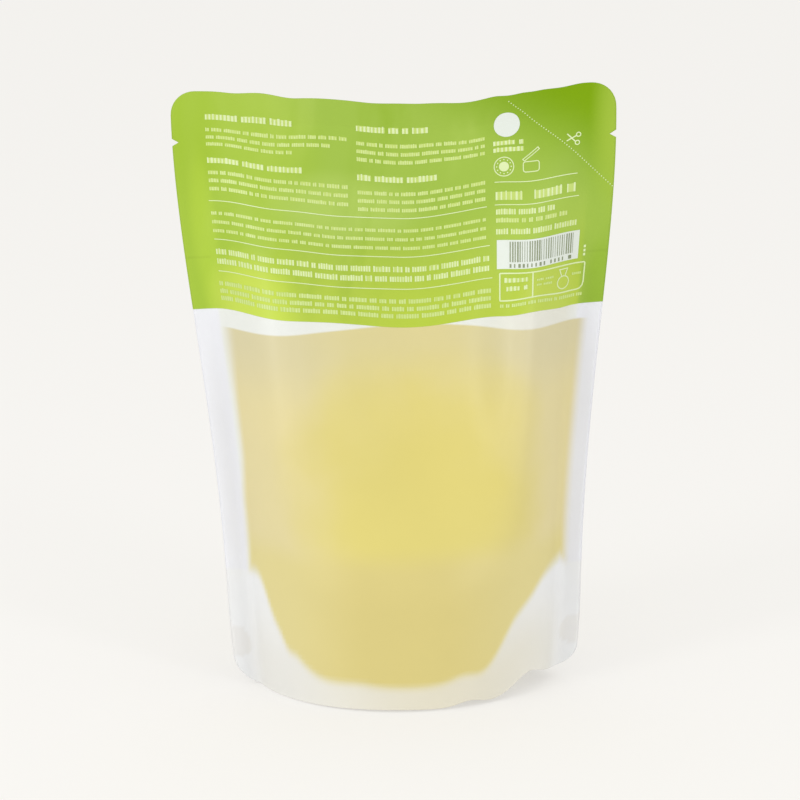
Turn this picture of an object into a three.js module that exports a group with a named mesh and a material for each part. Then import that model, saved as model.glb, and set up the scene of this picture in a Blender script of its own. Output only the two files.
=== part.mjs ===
// A stand-up refill pouch: two film panels welded down both sides and across the top, a folded base film
// that opens into a boat-shaped bottom, and the liquid soap that the pouch holds.
// Millimetres, +Z up. The pouch stands on z = 0 with its width along X and its two panels facing -Y and +Y.
import * as THREE from "three";

// Flat film, before filling
const panelWidth = 150;
const panelHeight = 208;
const filmThickness = 0.14;
const sideSealWidth = 8.6;
const topSealHeight = 9;
const topCornerRadius = 8.4;
const bottomCornerRadius = 7;

// Tear notches, one in each side edge
const notchBelowTop = 17.8;
const notchHeight = 2.6;
const notchDepth = 2.2;

// Base film: folded once, its fold this far above the bottom edge, welded in below a U-shaped line
const gussetHeight = 40;
const baseSealHeight = 6;
const punchAboveBottom = 13.6;
const punchHeight = 12.2;
const punchDepth = 7.5;

// Filled shape
const edgeAngleAtBase = 1.16; // how steeply a full panel leaves the side seals low down, radians
const bulgePower = 2.17; // how fast that angle fades towards the top seal
const footFlare = 0.07; // its rise right at the bottom edge
const footHeight = 30;
const valleyShare = 0.78; // share of the full depth that the middle of each panel falls in by, higher up
const valleyHalfWidth = 47;
const valleyPlace = 5;
const valleyFrom = 34; // the valley starts this far up and is complete at valleyTo
const valleyTo = 128;
const shoulderPlace = 45; // beside the valley each panel stands out in two shoulders
const shoulderHalfWidth = 21;
const shoulderLeft = 0.25; // their heights, as shares of the full depth
const shoulderRight = 0.3;
const cornerLift = 3; // the bottom corners stand off the floor
const sideLift = 1.7; // the sides stand this much higher than the film's length alone gives
// The bottom edge is tucked up at these places: across, width, lift
const tucks = [
  [50, 14, 5.2],
  [22, 6, 1.8],
  [70, 10, 2.6],
  [-5, 30, 0.8],
  [47, 9, 1.8],
];
// The film has settled off its even shape here: across, half width, lift, rising from and to, fading from and to
const settled = [
  [-56, 30, 1.5, 95, 130, 180, 200],
  [-20, 20, -1.1, 132, 150, 172, 190],
  [-44, 12, 1.7, 190, 206, 208, 209],
  [2, 12, 0.6, 190, 206, 208, 209],
  [39, 6, -0.6, 190, 206, 208, 209],
  [57, 8, -0.7, 190, 206, 208, 209],
  [27, 17, -2.2, 175, 206, 208, 209],
  [48, 12, 1.2, 110, 131, 136, 150],
];
// The U-shaped weld isn't quite even: across, half width, lift
const weldShifts = [
  [46, 20, 5],
  [-33, 20, -4],
];
const topBow = 1.8; // the middle of the header leans this far towards -Y
const flatShare = 0.15; // share of the base's width that rests flat on the floor
const restShare = 0.45; // share of the base's depth that rests flat
const fillLevel = 128;

// Stack of the layers, measured outwards from the surface midway between the inner and outer plies
const plyOffset = 0.17;
const panelOffset = 0.51;
const soapInset = 0.5;
const soapRise = 0.45;

const halfWidth = panelWidth / 2;
const bayHalf = halfWidth - sideSealWidth; // from the middle to the inner edge of a side seal
const bayTop = panelHeight - topSealHeight; // up to the inner edge of the top seal
const endInset = 1.2; // the soap's narrow ends stop this far short of the side seals

const { clamp, lerp, smoothstep } = THREE.MathUtils;

// Filled surface. A place on a panel is (u, v): u across from the middle line, v up from the bottom edge.

function edgeAngle(v) {
  const flare = footFlare * Math.max(0, 1 - v / footHeight) ** 2;
  return edgeAngleAtBase * (1 - Math.min(v / bayTop, 1) ** bulgePower) + flare;
}

// A panel's cross-section at height v: how far across u lies, and half of the pouch's depth there. A full
// panel is an arc as long as the flat bay. Higher up its middle falls in between two shoulders.
function sectionAt(u, v) {
  const angle = Math.max(edgeAngle(v), 1e-4);
  const radius = bayHalf / angle;
  const inBay = Math.min(Math.abs(u), bayHalf);
  const across = radius * Math.sin(inBay / radius) + Math.max(Math.abs(u) - bayHalf, 0);
  const full = radius * (Math.cos(inBay / radius) - Math.cos(angle));
  const fullMiddle = radius * (1 - Math.cos(angle));
  const fallen = fullMiddle * smoothstep(v, valleyFrom, valleyTo);
  const valley = valleyShare * softBump((u - valleyPlace) / valleyHalfWidth);
  const shoulderHeight = u < 0 ? shoulderLeft : shoulderRight;
  const shoulder = shoulderHeight * softBump((Math.abs(u) - shoulderPlace) / shoulderHalfWidth);
  return { x: Math.sign(u) * across, depth: full + fallen * (shoulder - valley) };
}

function softBump(t) {
  return Math.cos((Math.PI / 2) * clamp(t, -1, 1)) ** 2;
}

// How far a place is lifted by the bottom corners, the tucks and the settling of the film.
function liftAt(u, v) {
  const share = Math.min(Math.abs(u) / halfWidth, 1);
  const fade = Math.max(0, 1 - v / gussetHeight);
  let lift = cornerLift * fade * Math.max(0, (share - 0.85) / 0.15) ** 1.5 + sideLift * (1 - fade) * share ** 2.4;
  for (const [place, width, tuck] of tucks) lift += tuck * fade * Math.exp(-(((u - place) / width) ** 2));
  for (const [place, half, height, from, to, fading, gone] of settled) {
    const there = smoothstep(v, from, to) * (1 - smoothstep(v, fading, gone));
    lift += height * there * softBump((u - place) / half);
  }
  return lift;
}

// Film doesn't stretch, so what a strip of it leans in or out it loses in height.
function heightAt(u, v) {
  const steps = Math.max(1, Math.ceil(v / 4));
  let height = liftAt(u, v);
  let below = sectionAt(u, 0);
  for (let i = 1; i <= steps; i++) {
    const above = sectionAt(u, (v * i) / steps);
    const lean = Math.hypot(above.x - below.x, above.depth - below.depth);
    height += Math.sqrt(Math.max((v / steps) ** 2 - lean ** 2, 0));
    below = above;
  }
  return height;
}

// Both panels lean together towards -Y in the middle of the header.
function bowAt(u, v) {
  const share = Math.min(Math.abs(u) / halfWidth, 1);
  return topBow * (1 - share ** 2) * smoothstep(v, fillLevel, panelHeight);
}

// A point of the filled film, offset outwards. side is -1 for the back panel and 1 for the front one.
function filmPoint(u, v, side, offset) {
  const { x, depth } = sectionAt(u, v);
  const before = sectionAt(u - 0.5, v);
  const after = sectionAt(u + 0.5, v);
  const along = new THREE.Vector2(after.x - before.x, after.depth - before.depth).normalize();
  return new THREE.Vector3(
    x - offset * along.y,
    side * (depth + offset * along.x) - bowAt(u, v),
    heightAt(u, v),
  );
}

// Outline of the flat film: half of its width at each height.

function cornerCut(distance, radius) {
  if (distance >= radius) return 0;
  return radius - Math.sqrt(radius ** 2 - (radius - distance) ** 2);
}

function panelHalfWidth(v) {
  const notchCentre = panelHeight - notchBelowTop;
  const fromNotch = Math.abs(v - notchCentre) / (notchHeight / 2);
  const notch = notchDepth * Math.max(0, 1 - fromNotch);
  const top = cornerCut(panelHeight - v, topCornerRadius);
  return halfWidth - notch - top - cornerCut(v, bottomCornerRadius);
}

function gussetHalfWidth(v) {
  const fromPunch = Math.abs(v - punchAboveBottom) / (punchHeight / 2);
  const punch = fromPunch < 1 ? punchDepth * Math.sqrt(1 - fromPunch ** 2) : 0;
  return halfWidth - punch - cornerCut(v, bottomCornerRadius);
}

// Columns shared by every piece, so that facing surfaces have the same facets.

const bayShares = [0, 0.13, 0.26, 0.39, 0.52, 0.64, 0.75, 0.84, 0.92];
const bayColumns = [...bayShares.map((share) => share * bayHalf), bayHalf - endInset];
const sealColumns = [bayHalf, bayHalf + 0.4 * sideSealWidth, halfWidth];

function mirrored(columns) {
  return [...columns.slice(1).reverse().map((u) => -u), ...columns];
}

// The columns in the side seals follow the outline, and the others stay where they are.
function fitColumn(u, outline) {
  const share = (Math.abs(u) - bayHalf) / sideSealWidth;
  return share <= 0 ? u : Math.sign(u) * lerp(bayHalf, outline, share);
}

function cornerRows(radius, steps) {
  return Array.from({ length: steps }, (_, i) => radius * (1 - Math.cos((i * Math.PI) / 2 / steps)));
}

function evenRows(from, to, steps) {
  return Array.from({ length: steps }, (_, i) => lerp(from, to, i / steps));
}

// Closed bodies from grids of points

function bodyGeometry(points, triangles) {
  const geometry = new THREE.BufferGeometry().setFromPoints(points);
  geometry.setIndex(triangles.flat());
  geometry.computeVertexNormals();
  return geometry;
}

// A sheet with two faces, each a grid of rows, joined round its rim. Seen from outside, rows run up and
// columns run to the right.
function sheetGeometry(outer, inner) {
  const rows = outer.length;
  const columns = outer[0].length;
  const points = [...outer.flat(), ...inner.flat()];
  const at = (face, row, column) => face * rows * columns + row * columns + column;
  const triangles = [];
  const quad = (a, b, c, d) => triangles.push([a, b, c], [a, c, d]);
  for (let i = 0; i + 1 < rows; i++)
    for (let j = 0; j + 1 < columns; j++) {
      quad(at(0, i, j), at(0, i, j + 1), at(0, i + 1, j + 1), at(0, i + 1, j));
      quad(at(1, i, j), at(1, i + 1, j), at(1, i + 1, j + 1), at(1, i, j + 1));
    }
  for (let j = 0; j + 1 < columns; j++) {
    quad(at(1, 0, j), at(1, 0, j + 1), at(0, 0, j + 1), at(0, 0, j));
    quad(at(0, rows - 1, j), at(0, rows - 1, j + 1), at(1, rows - 1, j + 1), at(1, rows - 1, j));
  }
  for (let i = 0; i + 1 < rows; i++) {
    quad(at(1, i, 0), at(0, i, 0), at(0, i + 1, 0), at(1, i + 1, 0));
    quad(at(0, i, columns - 1), at(1, i, columns - 1), at(1, i + 1, columns - 1), at(0, i + 1, columns - 1));
  }
  return bodyGeometry(points, triangles);
}

// A body from a row of closed loops, with a flat cap on the first and the last.
function loopsGeometry(loops) {
  const count = loops[0].length;
  const triangles = [];
  loops.slice(1).forEach((_, j) => {
    for (let i = 0; i < count; i++) {
      const next = (i + 1) % count;
      const [a, b] = [j * count + i, j * count + next];
      const [c, d] = [(j + 1) * count + next, (j + 1) * count + i];
      triangles.push([a, b, d], [b, c, d]);
    }
  });
  // each loop runs down one side and up the other, so the caps are strips across it
  const last = (loops.length - 1) * count;
  for (let i = 0; i + 1 < count / 2; i++) {
    const [a, b, c, d] = [i, i + 1, count - 2 - i, count - 1 - i];
    if (b !== c) triangles.push([a, c, b], [last + a, last + b, last + c]);
    triangles.push([a, d, c], [last + a, last + c, last + d]);
  }
  return bodyGeometry(loops.flat(), triangles);
}

// Where the base film leaves a panel: low across the middle, rising to the fold at the side seals.
function weldHeight(u) {
  const share = Math.min(Math.abs(u) / bayHalf, 1);
  const even = baseSealHeight + (gussetHeight - baseSealHeight) * share ** 2.2;
  return weldShifts.reduce((sum, [place, half, lift]) => sum + lift * softBump((u - place) / half), even);
}

// Height of the base film's middle line: flat on the floor, then rising to the fold's two ends.
function keelHeight(u) {
  const share = Math.min(Math.abs(u) / bayHalf, 1);
  const rise = Math.max(0, (share - flatShare) / (1 - flatShare)) ** 2.8;
  const foldEnd = heightAt(Math.sign(u) * bayHalf, gussetHeight);
  return Math.max(foldEnd * rise, filmThickness / 2);
}

// Height and depth of the base film at column u, where along runs from 0 at the weld to 1 at the middle.
function baseFilmHeight(u, along) {
  const outward = Math.cos((along * Math.PI) / 2);
  const slope = Math.max(0, (outward - restShare) / (1 - restShare)) ** 2;
  return lerp(keelHeight(u), heightAt(u, weldHeight(u)), slope);
}

function baseFilmDepth(u, along, offset) {
  const { depth } = sectionAt(u, weldHeight(u));
  return (depth + offset) * Math.cos((along * Math.PI) / 2);
}

const frostedFilm = new THREE.MeshStandardMaterial({
  color: 0xe9ecea,
  roughness: 0.45,
  metalness: 0,
  transparent: true,
  opacity: 0.55,
});

const printedFilm = new THREE.MeshStandardMaterial({
  color: 0xa6c63e,
  roughness: 0.4,
  metalness: 0,
});

const yellowSoap = new THREE.MeshStandardMaterial({
  color: 0xe3cf7c,
  roughness: 0.15,
  metalness: 0,
});

// A panel: the two faces of one film, set outside the base film's ply at the bottom and closing onto the
// other panel above it.
function makePanel(name, side) {
  const notchCentre = panelHeight - notchBelowTop;
  const rows = [
    ...cornerRows(bottomCornerRadius, 4),
    ...evenRows(bottomCornerRadius, gussetHeight, 5),
    ...evenRows(gussetHeight, notchCentre - notchHeight / 2, 18),
    notchCentre - notchHeight / 2,
    notchCentre,
    notchCentre + notchHeight / 2,
    ...cornerRows(topCornerRadius, 5)
      .map((distance) => panelHeight - distance)
      .reverse(),
  ];
  const columns = mirrored([...bayColumns, ...sealColumns]);
  const order = side < 0 ? columns : [...columns].reverse();
  const face = (shift) =>
    rows.map((v) =>
      order.map((u) => {
        const overGusset = smoothstep(v, gussetHeight, gussetHeight + 12);
        const offset = lerp(panelOffset, plyOffset, overGusset) + shift;
        return filmPoint(fitColumn(u, panelHalfWidth(v)), v, side, offset);
      }),
    );
  const mesh = new THREE.Mesh(sheetGeometry(face(filmThickness / 2), face(-filmThickness / 2)));
  mesh.name = name;
  mesh.material = printedFilm;
  return mesh;
}

// The base film: up the inside of the back panel to the weld's end, across the floor of the pouch and down
// the inside of the front panel.
function makeGusset() {
  const weldRows = [
    ...cornerRows(bottomCornerRadius, 3),
    bottomCornerRadius,
    ...[-1, -0.85, -0.45, 0, 0.45, 0.85, 1].map((step) => punchAboveBottom + (step * punchHeight) / 2),
    28,
    36,
  ].map((v) => v / gussetHeight);
  const alongRows = [0, 0.2, 0.4, 0.6, 0.8];
  const columns = mirrored([...bayColumns, ...sealColumns]);

  const weldPoint = (u, share, side) => {
    const edge = gussetHalfWidth(share * gussetHeight);
    return filmPoint(fitColumn(u, edge), share * weldHeight(u), side, plyOffset);
  };
  const basePoint = (u, along, side) => {
    const start = filmPoint(u, weldHeight(u), side, plyOffset);
    const foldRound = plyOffset * Math.min(Math.abs(u) / bayHalf, 1) ** 8;
    start.y = side * baseFilmDepth(u, along, plyOffset);
    start.z = baseFilmHeight(u, along) + foldRound * Math.sin((along * Math.PI) / 2);
    return start;
  };

  const backHalf = [
    ...weldRows.map((share) => columns.map((u) => weldPoint(u, share, -1))),
    ...alongRows.map((along) => columns.map((u) => basePoint(u, along, -1))),
  ];
  const frontHalf = [
    ...weldRows.map((share) => columns.map((u) => weldPoint(u, share, 1))),
    ...alongRows.map((along) => columns.map((u) => basePoint(u, along, 1))),
  ].reverse();
  const middle = [columns.map((u) => basePoint(u, 1, -1))];
  const grid = [...backHalf, ...middle, ...frontHalf];
  const normals = gridNormals(grid);
  const onFloor = (point) => point.setZ(Math.max(point.z, 0));
  const face = (shift) =>
    grid.map((row, i) => row.map((point, j) => onFloor(point.clone().addScaledVector(normals[i][j], shift))));
  const mesh = new THREE.Mesh(sheetGeometry(face(filmThickness / 2), face(-filmThickness / 2)), frostedFilm);
  mesh.name = "base_gusset";
  return mesh;
}

// Unit normals of a grid of points: across the columns, turned to the side that faces the panels and floor.
function gridNormals(grid) {
  const last = grid.length - 1;
  return grid.map((row, i) =>
    row.map((_, j) => {
      const right = row[Math.min(j + 1, row.length - 1)].clone().sub(row[Math.max(j - 1, 0)]);
      const up = grid[Math.min(i + 1, last)][j].clone().sub(grid[Math.max(i - 1, 0)][j]);
      return right.cross(up).normalize();
    }),
  );
}

// The soap: it fills the pouch from the base film up to its level surface.
function makeSoap() {
  const sideSteps = 16;
  const alongRows = [0.2, 0.4, 0.6, 0.8, 1];
  const columns = mirrored(bayColumns);

  const levelRow = (u) => {
    let v = fillLevel;
    for (let step = 0; step < 4; step++) v += fillLevel - heightAt(u, v);
    return v;
  };
  // one side of a loop, from the level surface down to the middle line of the base
  const halfLoop = (u, side) => {
    const top = levelRow(u);
    const bottom = weldHeight(u) + 1.2;
    const wall = Array.from({ length: sideSteps }, (_, i) => {
      const point = filmPoint(u, lerp(top, bottom, i / (sideSteps - 1)), side, -soapInset);
      if (i === 0) point.z = fillLevel;
      return point;
    });
    const floor = alongRows.map((along) => {
      const point = filmPoint(u, bottom, side, -soapInset);
      point.y = side * baseFilmDepth(u, along, -soapInset);
      point.z = baseFilmHeight(u, along) + filmThickness / 2 + soapRise;
      return point;
    });
    return [...wall, ...floor];
  };

  const loops = columns.map((u) => {
    const back = halfLoop(u, -1);
    const front = halfLoop(u, 1);
    return [...back, ...front.slice(0, -1).reverse()];
  });
  const mesh = new THREE.Mesh(loopsGeometry(loops), yellowSoap);
  mesh.name = "liquid_soap";
  return mesh;
}

const pouch = new THREE.Group();
pouch.name = "refill_pouch";
pouch.add(makePanel("back_panel", -1), makePanel("front_panel", 1), makeGusset(), makeSoap());

export default pouch;
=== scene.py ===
import math

import bpy
import numpy as np
from mathutils import Matrix, Vector


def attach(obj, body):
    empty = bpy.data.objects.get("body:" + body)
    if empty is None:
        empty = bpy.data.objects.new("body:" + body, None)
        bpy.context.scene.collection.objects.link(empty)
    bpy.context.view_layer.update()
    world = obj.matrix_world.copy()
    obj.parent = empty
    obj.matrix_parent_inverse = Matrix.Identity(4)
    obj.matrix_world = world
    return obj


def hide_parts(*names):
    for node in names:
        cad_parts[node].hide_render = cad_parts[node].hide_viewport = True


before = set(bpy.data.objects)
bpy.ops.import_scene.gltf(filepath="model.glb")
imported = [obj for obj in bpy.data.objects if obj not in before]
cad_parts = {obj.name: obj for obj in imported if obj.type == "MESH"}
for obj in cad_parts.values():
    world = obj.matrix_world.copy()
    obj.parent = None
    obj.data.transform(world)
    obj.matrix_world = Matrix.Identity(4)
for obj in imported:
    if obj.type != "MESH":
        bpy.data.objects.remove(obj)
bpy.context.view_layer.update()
print("frame loaded")

mm = 0.001

# The flat film and how it fills, in millimetres, as the solids have them
pouch = {
    "width": 150.0,
    "height": 208.0,
    "filmThickness": 0.14,
    "sideSeal": 8.6,
    "topSeal": 9.0,
    "topCornerRadius": 8.4,
    "bottomCornerRadius": 7.0,
    "notchBelowTop": 17.8,
    "notchHeight": 2.6,
    "notchDepth": 2.2,
    "gussetHeight": 40.0,
    "baseSeal": 6.0,
    "punchAboveBottom": 13.6,
    "punchHeight": 12.2,
    "punchDepth": 7.5,
    "fillLevel": 128.0,
    "plyOffset": 0.17,  # layers are measured outwards from the surface between the two inner plies
    "panelOffset": 0.51,
    "soapInset": 0.5,
    "soapRise": 0.45,
    "soapAboveWeld": 1.2,
}
halfWidth = pouch["width"] / 2
bayHalf = halfWidth - pouch["sideSeal"]
bayTop = pouch["height"] - pouch["topSeal"]

shape = {
    "edgeAngle": 1.16,
    "bulgePower": 2.17,
    "footFlare": 0.07,
    "footHeight": 30.0,
    "valleyShare": 0.78,
    "valleyHalfWidth": 47.0,
    "valleyPlace": 5.0,
    "valleyFrom": 34.0,
    "valleyTo": 128.0,
    "shoulderPlace": 45.0,
    "shoulderHalfWidth": 21.0,
    "shoulderLeft": 0.25,
    "shoulderRight": 0.3,
    "cornerLift": 3.0,
    "cornerFrom": 0.85,
    "cornerPower": 1.5,
    "sideLift": 1.7,
    "sidePower": 2.4,
    "topBow": 1.8,
    "weldPower": 2.2,
    "flatShare": 0.15,
    "keelPower": 2.8,
    "restShare": 0.45,
    "sealBend": 3.2,  # reach of the soft bend on each side of the side seals' inner edges
    # across, width, lift of the bottom edge
    "tucks": [(50, 14, 5.2), (22, 6, 1.8), (70, 10, 2.6), (-5, 30, 0.8), (47, 9, 1.8)],
    # across, half width, lift, rising from and to, fading from and to
    "settled": [
        (-56, 30, 1.5, 95, 130, 180, 200),
        (-20, 20, -1.1, 132, 150, 172, 190),
        (-44, 12, 1.7, 190, 206, 208, 209),
        (2, 12, 0.6, 190, 206, 208, 209),
        (39, 6, -0.6, 190, 206, 208, 209),
        (57, 8, -0.7, 190, 206, 208, 209),
        (27, 17, -2.2, 175, 206, 208, 209),
        (48, 12, 1.2, 110, 131, 136, 150),
    ],
    # across, half width, lift of the U-shaped weld
    "weldShifts": [(46, 20, 5), (-33, 20, -4)],
    # soft waves that both panels share: across, half width, lean, rising from and to, fading from and to
    "waves": [
        (-14, 9, -0.5, 136, 150, 176, 190),
        (24, 12, 0.5, 136, 150, 185, 200),
        (46, 14, -0.6, 160, 185, 200, 208),
    ],
}


def smoothStep(value, start, end):
    share = np.clip((value - start) / (end - start), 0, 1)
    return share * share * (3 - 2 * share)


def softBump(value):
    return np.cos(np.pi / 2 * np.clip(value, -1, 1)) ** 2


# A place on a panel is (u, v): across from the middle line, and up from the bottom edge.
def sharpSection(u, v):
    flare = shape["footFlare"] * np.maximum(0, 1 - v / shape["footHeight"]) ** 2
    angle = shape["edgeAngle"] * (1 - np.minimum(v / bayTop, 1) ** shape["bulgePower"]) + flare
    angle = np.maximum(angle, 1e-4)
    radius = bayHalf / angle
    inBay = np.minimum(np.abs(u), bayHalf)
    across = radius * np.sin(inBay / radius) + np.maximum(np.abs(u) - bayHalf, 0)
    full = radius * (np.cos(inBay / radius) - np.cos(angle))
    fallen = radius * (1 - np.cos(angle)) * smoothStep(v, shape["valleyFrom"], shape["valleyTo"])
    valley = shape["valleyShare"] * softBump((u - shape["valleyPlace"]) / shape["valleyHalfWidth"])
    height = np.where(u < 0, shape["shoulderLeft"], shape["shoulderRight"])
    shoulder = height * softBump((np.abs(u) - shape["shoulderPlace"]) / shape["shoulderHalfWidth"])
    return np.sign(u) * across, full + fallen * (shoulder - valley)


# The film turns out into the side seals in a soft bend, not in a crease.
def sectionAt(u, v):
    u, v = np.broadcast_arrays(np.asarray(u, float), np.asarray(v, float))
    places = [sharpSection(u + share * shape["sealBend"], v) for share in (-1, -0.5, 0, 0.5, 1)]
    return tuple(sum(place[i] for place in places) / len(places) for i in (0, 1))


def bumpsAt(u, v, bumps):
    total = 0 * u
    for place, half, height, start, end, fading, gone in bumps:
        there = smoothStep(v, start, end) * (1 - smoothStep(v, fading, gone))
        total = total + height * there * softBump((u - place) / half)
    return total


def liftAt(u, v):
    share = np.minimum(np.abs(u) / halfWidth, 1)
    fade = np.maximum(0, 1 - v / pouch["gussetHeight"])
    corner = np.maximum(0, share - shape["cornerFrom"]) / (1 - shape["cornerFrom"])
    lift = shape["cornerLift"] * fade * corner ** shape["cornerPower"]
    lift = lift + shape["sideLift"] * (1 - fade) * share ** shape["sidePower"]
    for place, width, tuck in shape["tucks"]:
        lift = lift + tuck * fade * np.exp(-(((u - place) / width) ** 2))
    return lift + bumpsAt(u, v, shape["settled"])


# Film doesn't stretch, so what a strip of it leans in or out it loses in height.
def heightAt(u, v):
    steps = 48
    height = liftAt(u, v)
    below = sectionAt(u, 0 * v)
    for i in range(1, steps + 1):
        above = sectionAt(u, v * i / steps)
        lean = np.hypot(above[0] - below[0], above[1] - below[1])
        height = height + np.sqrt(np.maximum((v / steps) ** 2 - lean**2, 0))
        below = above
    return height


def bowAt(u, v):
    share = np.minimum(np.abs(u) / halfWidth, 1)
    bow = shape["topBow"] * (1 - share**2) * smoothStep(v, pouch["fillLevel"], pouch["height"])
    return bow + bumpsAt(u, v, shape["waves"])


# Points of the filled film, in millimetres. side is -1 for the back panel and 1 for the front one.
def filmPoints(u, v, side, offset):
    u, v, offset = np.broadcast_arrays(np.asarray(u, float), np.asarray(v, float), np.asarray(offset, float))
    x, depth = sectionAt(u, v)
    before = sectionAt(u - 0.5, v)
    after = sectionAt(u + 0.5, v)
    along = np.stack([after[0] - before[0], after[1] - before[1]])
    along = along / np.linalg.norm(along, axis=0)
    return np.stack([
        x - offset * along[1],
        side * (depth + offset * along[0]) - bowAt(u, v),
        heightAt(u, v),
    ], axis=-1)


def cornerCut(distance, radius):
    inside = np.clip(radius - distance, 0, radius)
    return radius - np.sqrt(radius**2 - inside**2)


def panelHalfWidth(v):
    fromNotch = np.abs(v - (pouch["height"] - pouch["notchBelowTop"])) / (pouch["notchHeight"] / 2)
    notch = pouch["notchDepth"] * np.maximum(0, 1 - fromNotch)
    top = cornerCut(pouch["height"] - v, pouch["topCornerRadius"])
    return halfWidth - notch - top - cornerCut(v, pouch["bottomCornerRadius"])


def gussetHalfWidth(v):
    fromPunch = np.abs(v - pouch["punchAboveBottom"]) / (pouch["punchHeight"] / 2)
    punch = pouch["punchDepth"] * np.sqrt(np.maximum(0, 1 - fromPunch**2))
    return halfWidth - punch - cornerCut(v, pouch["bottomCornerRadius"])


def fitColumn(u, outline):
    share = (np.abs(u) - bayHalf) / pouch["sideSeal"]
    return np.where(share <= 0, u, np.sign(u) * (bayHalf + (outline - bayHalf) * share))


# Meshes from grids of points

def placed(name, data):
    made = bpy.data.objects.new(name, data)
    bpy.context.scene.collection.objects.link(made)
    return made


def objectFrom(name, points, faces, material):
    mesh = bpy.data.meshes.new(name)
    mesh.from_pydata([tuple(p) for p in points * mm], [], faces)
    mesh.materials.append(material)
    mesh.validate()
    mesh.update()
    mesh.shade_smooth()
    return placed(name, mesh)


# The map for baking: the outer face has the left two thirds, the inner face the rest, and the rim a narrow
# strip round the outer face.
bakeMap = {
    "outerFrom": 0.01,
    "outerWidth": 0.68,
    "innerFrom": 0.71,
    "innerWidth": 0.28,
    "lowFrom": 0.01,
    "height": 0.98,
    "rim": 0.004,
}


# A sheet with two faces, each a grid, joined round its rim. places holds (u, v, face) for the materials, and
# tall is how far v goes.
def sheetObject(name, outer, inner, places, material, tall):
    rows, columns = outer.shape[:2]
    corners = np.arange(3 * rows * columns).reshape(3, rows, columns)
    quads = []

    def addQuads(a, b, c, d):
        quads.append(np.stack([a, b, c, d], -1).reshape(-1, 4))

    low, high = corners[:, :-1], corners[:, 1:]
    addQuads(low[0, :, :-1], low[0, :, 1:], high[0, :, 1:], high[0, :, :-1])
    addQuads(low[1, :, :-1], high[1, :, :-1], high[1, :, 1:], low[1, :, 1:])
    addQuads(corners[2, 0, :-1], corners[2, 0, 1:], corners[0, 0, 1:], corners[0, 0, :-1])
    addQuads(corners[0, -1, :-1], corners[0, -1, 1:], corners[2, -1, 1:], corners[2, -1, :-1])
    addQuads(corners[2, :-1, 0], corners[0, :-1, 0], corners[0, 1:, 0], corners[2, 1:, 0])
    addQuads(corners[0, :-1, -1], corners[2, :-1, -1], corners[2, 1:, -1], corners[0, 1:, -1])
    quads = np.concatenate(quads)
    count = rows * columns
    points = np.concatenate([outer.reshape(-1, 3), inner.reshape(-1, 3)])
    faces = np.where(quads >= 2 * count, quads - count, quads).tolist()
    made = objectFrom(name, points, faces, material)
    film = made.data.attributes.new("filmPlace", "FLOAT_VECTOR", "POINT")
    film.data.foreach_set("vector", places.reshape(-1))

    across = places[:count, 0].reshape(rows, columns) / pouch["width"] + 0.5
    up = bakeMap["lowFrom"] + bakeMap["height"] * places[:count, 1].reshape(rows, columns) / tall
    outerMap = np.stack([bakeMap["outerFrom"] + bakeMap["outerWidth"] * across, up], -1)
    innerMap = np.stack([bakeMap["innerFrom"] + bakeMap["innerWidth"] * across, up], -1)
    rimMap = outerMap.copy()
    turned = np.sign(across[0, -1] - across[0, 0])
    rimMap[0, :, 1] -= bakeMap["rim"]
    rimMap[-1, :, 1] += bakeMap["rim"]
    rimMap[:, 0, 0] -= bakeMap["rim"] * turned
    rimMap[:, -1, 0] += bakeMap["rim"] * turned
    spots = np.concatenate([outerMap.reshape(-1, 2), innerMap.reshape(-1, 2), rimMap.reshape(-1, 2)])
    layer = made.data.uv_layers.new(name="OFBake")
    layer.uv.foreach_set("vector", spots[quads.reshape(-1)].reshape(-1))
    return made


def bothFaces(u, v):
    return np.concatenate([np.stack([u, v, face + 0 * u], -1).reshape(-1, 3) for face in (0, 1)])


def addValues(made, name, values):
    field = made.data.attributes.new(name, "FLOAT", "POINT")
    field.data.foreach_set("value", np.asarray(values, float).reshape(-1))


# Materials

def newMaterial(name):
    material = bpy.data.materials.new(name)
    material.use_nodes = True
    tree = material.node_tree
    shader = tree.nodes["Principled BSDF"]
    return material, tree, shader


def setInputs(node, values):
    for socket, value in values.items():
        node.inputs[socket].default_value = value


def addNode(tree, kind, **settings):
    node = tree.nodes.new(kind)
    for key, value in settings.items():
        if key in node.inputs:
            node.inputs[key].default_value = value
        else:
            setattr(node, key, value)
    return node


def mathNode(tree, operation, first, second=None, third=None):
    node = tree.nodes.new("ShaderNodeMath")
    node.operation = operation
    for socket, value in zip(node.inputs, (first, second, third)):
        if value is None:
            continue
        if isinstance(value, (int, float)):
            socket.default_value = value
        else:
            tree.links.new(value, socket)
    return node.outputs[0]


def mixColours(tree, share, first, second, blend="MIX"):
    node = tree.nodes.new("ShaderNodeMix")
    node.data_type = "RGBA"
    node.blend_type = blend
    for socket, value in ((node.inputs[0], share), (node.inputs[6], first), (node.inputs[7], second)):
        if hasattr(value, "is_linked"):
            tree.links.new(value, socket)
        else:
            socket.default_value = value
    return node.outputs[2]


def colour(red, green, blue):
    def linear(value):
        value = value / 255
        return value / 12.92 if value <= 0.04045 else ((value + 0.055) / 1.055) ** 2.4

    return (linear(red), linear(green), linear(blue), 1.0)


# 0 below start and 1 above end
def rampNode(tree, value, start, end):
    node = tree.nodes.new("ShaderNodeMapRange")
    node.interpolation_type = "SMOOTHSTEP"
    tree.links.new(value, node.inputs["Value"])
    node.inputs["From Min"].default_value = start
    node.inputs["From Max"].default_value = end
    return node.outputs["Result"]


def fieldNode(tree, name):
    return addNode(tree, "ShaderNodeAttribute", attribute_name=name).outputs["Fac"]


def placeNode(tree):
    return addNode(tree, "ShaderNodeTexCoord").outputs["Object"]


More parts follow.
